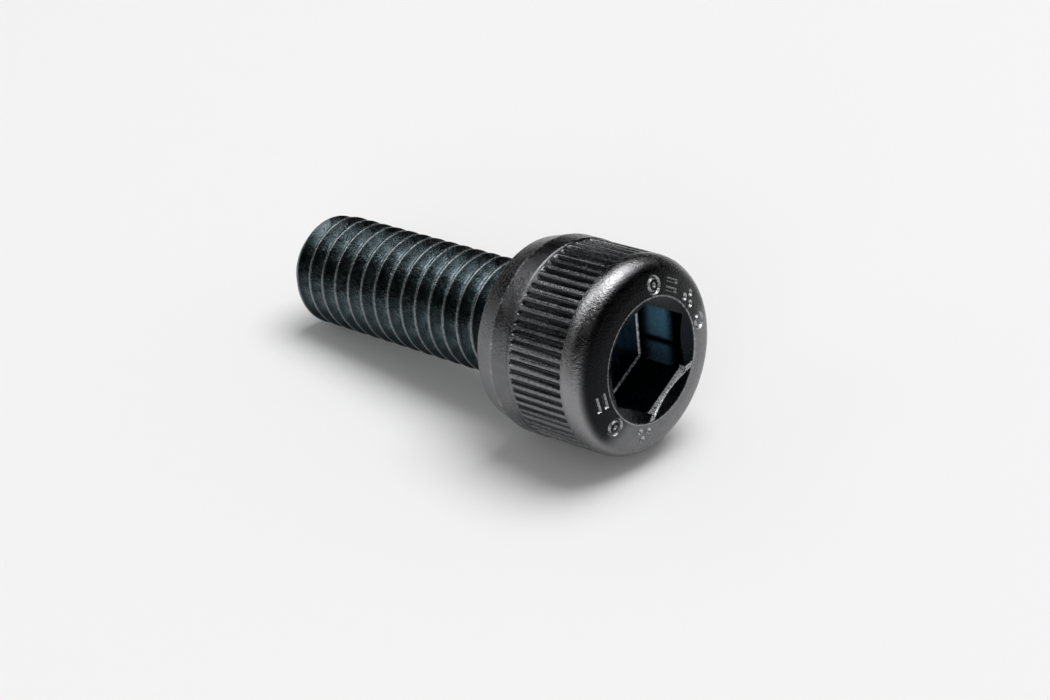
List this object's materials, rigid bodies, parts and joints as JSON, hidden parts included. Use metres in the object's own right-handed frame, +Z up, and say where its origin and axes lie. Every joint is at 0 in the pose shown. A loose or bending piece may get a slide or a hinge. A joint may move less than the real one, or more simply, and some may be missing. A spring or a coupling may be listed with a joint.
{
  "type": "hexagon socket head cap screw",
  "caption": "Right-handed machine screw with a tall knurled round head and a hexagon socket, for clamping parts together",
  "frame": {"origin": "on the plane the screw lies on, under the middle of its bounding box", "axes": "+Z up; +X along the screw from tip to head, seen from above; +Y completes a right-handed frame. The screw's own axis lies in the XZ plane and leans up by 7.2 degrees towards the head"},
  "size_m": [0.0236, 0.01, 0.0105],
  "materials": {
    "black_oxide": "black oxide on alloy steel, lightly oiled, thinly worn on the edges"
  },
  "bodies": {
    "root": {"cap_screw": "black_oxide"}
  },
  "joints": []
}
